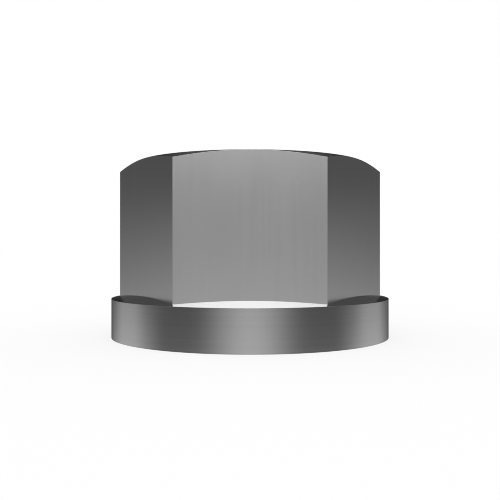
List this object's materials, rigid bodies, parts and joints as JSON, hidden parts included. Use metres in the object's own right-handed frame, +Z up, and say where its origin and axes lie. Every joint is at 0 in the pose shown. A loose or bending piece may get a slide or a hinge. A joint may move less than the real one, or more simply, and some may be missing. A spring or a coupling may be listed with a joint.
{
  "type": "hex flange nut",
  "caption": "Tall hexagon nut with a round collar, chamfered at the top, with a coned collar top and a through thread.",
  "frame": {"origin": "centre of the seat face under the collar, on the thread's axis", "axes": "+Z up the thread's axis from the seat face to the top face, one pair of flats facing along Y, so that two corners of the hexagon lie on the X axis"},
  "size_m": [0.029, 0.029, 0.018],
  "materials": {
    "steel": "satin"
  },
  "bodies": {
    "root": {"collar_nut": "steel"}
  },
  "joints": []
}
